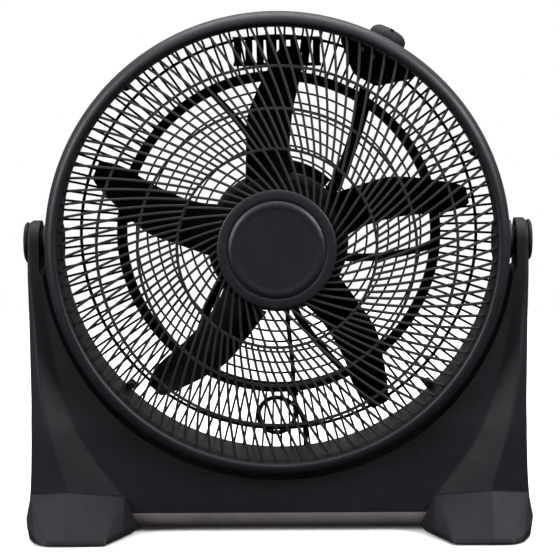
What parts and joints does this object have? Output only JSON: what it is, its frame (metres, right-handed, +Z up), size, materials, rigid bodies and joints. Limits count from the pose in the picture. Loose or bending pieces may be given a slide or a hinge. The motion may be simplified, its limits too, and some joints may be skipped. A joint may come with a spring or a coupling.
{
  "type": "box fan",
  "caption": "Round drum fan with a spiral grille and bladed wheel, tilting between the arms of a U-shaped stand on wedge feet, with a speed knob and mains lead.",
  "frame": {"origin": "on the floor, under the middle of the fan from side to side and from toe to heel", "axes": "+X to the fan's left-hand side as it faces the viewer (the viewer's right), +Y to the back, +Z up; air blows towards -Y"},
  "size_m": [0.5732, 0.216, 0.583],
  "materials": {
    "stand_plastic": "fine moulded texture, satin",
    "head_plastic": "smooth satin moulding",
    "grille_plastic": "smooth satin moulding",
    "black_plastic": "satin moulding",
    "blade_plastic": "semi-gloss moulding",
    "pad_rubber": "matt",
    "cord_sheath": "soft satin sheath",
    "pale_plastic": "smooth",
    "steel": "zinc plated",
    "laminated_steel": "stacked laminations",
    "winding_copper": "enamelled wire",
    "cast_aluminium": "die cast",
    "bush_bronze": "sintered",
    "pin_brass": "turned"
  },
  "bodies": {
    "stand": {"stand_panel": "stand_plastic", "left_foot": "stand_plastic", "right_foot": "stand_plastic", "left_front_pad": "pad_rubber", "left_rear_pad": "pad_rubber", "right_front_pad": "pad_rubber", "right_rear_pad": "pad_rubber", "left_foot_screw_1": "steel", "left_foot_screw_2": "steel", "right_foot_screw_1": "steel", "right_foot_screw_2": "steel", "left_pivot_bolt": "steel", "right_pivot_bolt": "steel", "left_pivot_cap": "stand_plastic", "right_pivot_cap": "stand_plastic", "left_friction_washer": "pad_rubber", "right_friction_washer": "pad_rubber", "power_cord": "cord_sheath", "cord_coil": "cord_sheath", "cord_tail": "cord_sheath", "plug_body": "cord_sheath", "plug_pin_front": "pin_brass", "plug_pin_rear": "pin_brass"},
    "head": {"drum_ring": "head_plastic", "rear_grille_screw_1": "steel", "rear_grille_screw_2": "steel", "rear_grille_screw_3": "steel", "rear_grille_screw_4": "steel", "front_grille": "grille_plastic", "grille_cap": "head_plastic", "cap_disc": "head_plastic", "rear_grille": "black_plastic", "stator_core": "laminated_steel", "front_winding": "winding_copper", "rear_winding": "winding_copper", "motor_front_bracket": "cast_aluminium", "motor_rear_bracket": "cast_aluminium", "front_bush": "bush_bronze", "rear_bush": "bush_bronze", "motor_bolt_1": "steel", "motor_bolt_2": "steel", "motor_rear_cover": "black_plastic", "switch_box": "black_plastic", "switch_box_cover": "black_plastic", "switch_screw_1": "steel", "switch_screw_2": "steel", "rotary_switch": "pale_plastic", "run_capacitor": "pale_plastic", "wire_channel": "black_plastic", "cord_gland": "cord_sheath", "supply_lead": "cord_sheath", "cord_clip": "black_plastic"},
    "fan_wheel": {"fan_blade": "blade_plastic", "rotor_core": "laminated_steel", "rotor_shaft": "steel", "drive_pin": "steel", "spinner_nut": "black_plastic"},
    "knob": {"speed_knob": "stand_plastic", "switch_spindle": "pale_plastic"}
  },
  "joints": [
    {"name": "head_tilt", "type": "hinge", "parent": "stand", "child": "head", "pos_m": [0, 0, 0.326], "axis": [-1, 0, 0], "range_deg": [0, 90]},
    {"name": "blade_spin", "type": "hinge", "parent": "head", "child": "fan_wheel", "pos_m": [0, 0, 0.326], "axis": [0, 1, 0], "continuous": true},
    {"name": "knob_turn", "type": "hinge", "parent": "head", "child": "knob", "pos_m": [0.12285, 0.032, 0.54763], "axis": [-0.4848, 0, -0.8746], "range_deg": [0, 135]}
  ]
}
